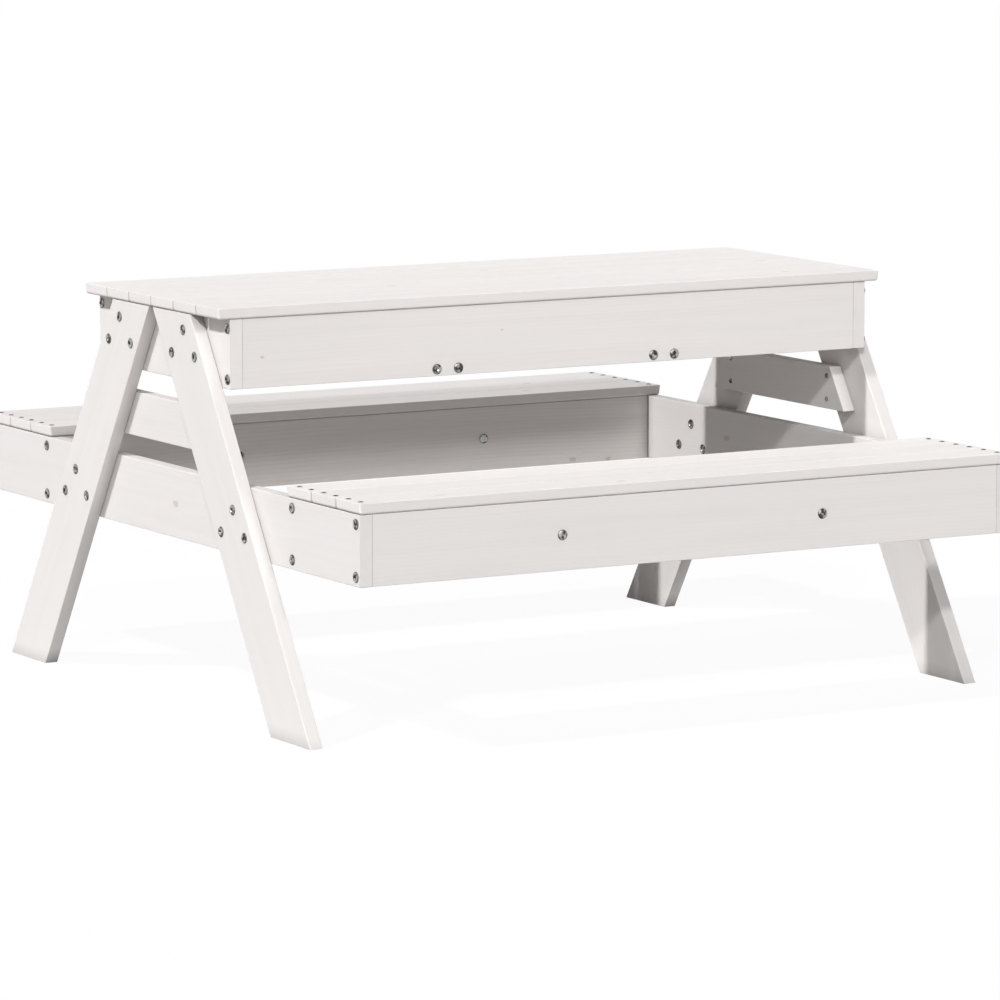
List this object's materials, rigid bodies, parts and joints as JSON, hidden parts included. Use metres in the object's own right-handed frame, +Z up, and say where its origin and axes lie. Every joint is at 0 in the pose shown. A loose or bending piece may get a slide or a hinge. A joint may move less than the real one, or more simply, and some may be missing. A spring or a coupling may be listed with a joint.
{
  "type": "picnic table with sandbox",
  "caption": "Low picnic table for children with a bench on each long side, leaning plank legs, and a sand tray under a slatted top that lifts off.",
  "frame": {"origin": "on the ground, under the middle of the table", "axes": "+X along the tabletop, +Y from the front bench to the back bench, +Z up"},
  "size_m": [1.0054, 1.0644, 0.5283],
  "materials": {
    "painted_pine": "thin white paint over planed pine, satin, with grain and knots just visible",
    "tray_panel": "thin white stain over a plain panel",
    "zinc_steel": "zinc-plated, satin"
  },
  "bodies": {
    "frame": {"apron_left": "painted_pine", "apron_right": "painted_pine", "apron_front": "painted_pine", "apron_back": "painted_pine", "tray_floor": "tray_panel", "tray_rail_left": "painted_pine", "tray_rail_right": "painted_pine", "rail_bolt_front_1": "zinc_steel", "rail_bolt_front_2": "zinc_steel", "rail_bolt_front_3": "zinc_steel", "rail_bolt_front_4": "zinc_steel", "rail_bolt_back_1": "zinc_steel", "rail_bolt_back_2": "zinc_steel", "rail_bolt_back_3": "zinc_steel", "rail_bolt_back_4": "zinc_steel", "leg_left_front": "painted_pine", "leg_left_back": "painted_pine", "leg_right_front": "painted_pine", "leg_right_back": "painted_pine", "leg_bolt_left_front_1": "zinc_steel", "leg_bolt_left_front_2": "zinc_steel", "leg_bolt_left_front_3": "zinc_steel", "leg_bolt_left_back_1": "zinc_steel", "leg_bolt_left_back_2": "zinc_steel", "leg_bolt_left_back_3": "zinc_steel", "leg_bolt_right_front_1": "zinc_steel", "leg_bolt_right_front_2": "zinc_steel", "leg_bolt_right_front_3": "zinc_steel", "leg_bolt_right_back_1": "zinc_steel", "leg_bolt_right_back_2": "zinc_steel", "leg_bolt_right_back_3": "zinc_steel", "end_board_left": "painted_pine", "end_board_right": "painted_pine", "brace_left": "painted_pine", "brace_right": "painted_pine", "bench_front_outer": "painted_pine", "bench_front_inner": "painted_pine", "bench_back_outer": "painted_pine", "bench_back_inner": "painted_pine", "bench_front_cross_left": "painted_pine", "bench_front_cross_right": "painted_pine", "bench_back_cross_left": "painted_pine", "bench_back_cross_right": "painted_pine", "seat_front_plank_1": "painted_pine", "seat_front_plank_2": "painted_pine", "seat_front_plank_3": "painted_pine", "seat_back_plank_1": "painted_pine", "seat_back_plank_2": "painted_pine", "seat_back_plank_3": "painted_pine"},
    "lid": {"lid_plank_1": "painted_pine", "lid_plank_2": "painted_pine", "lid_plank_3": "painted_pine", "lid_plank_4": "painted_pine", "lid_plank_5": "painted_pine", "lid_plank_6": "painted_pine", "lid_batten_left": "painted_pine", "lid_batten_right": "painted_pine"}
  },
  "joints": [
    {"name": "lid_lift", "type": "slide", "parent": "frame", "child": "lid", "axis": [0, 0, 1], "range_m": [0, 0.15]}
  ]
}
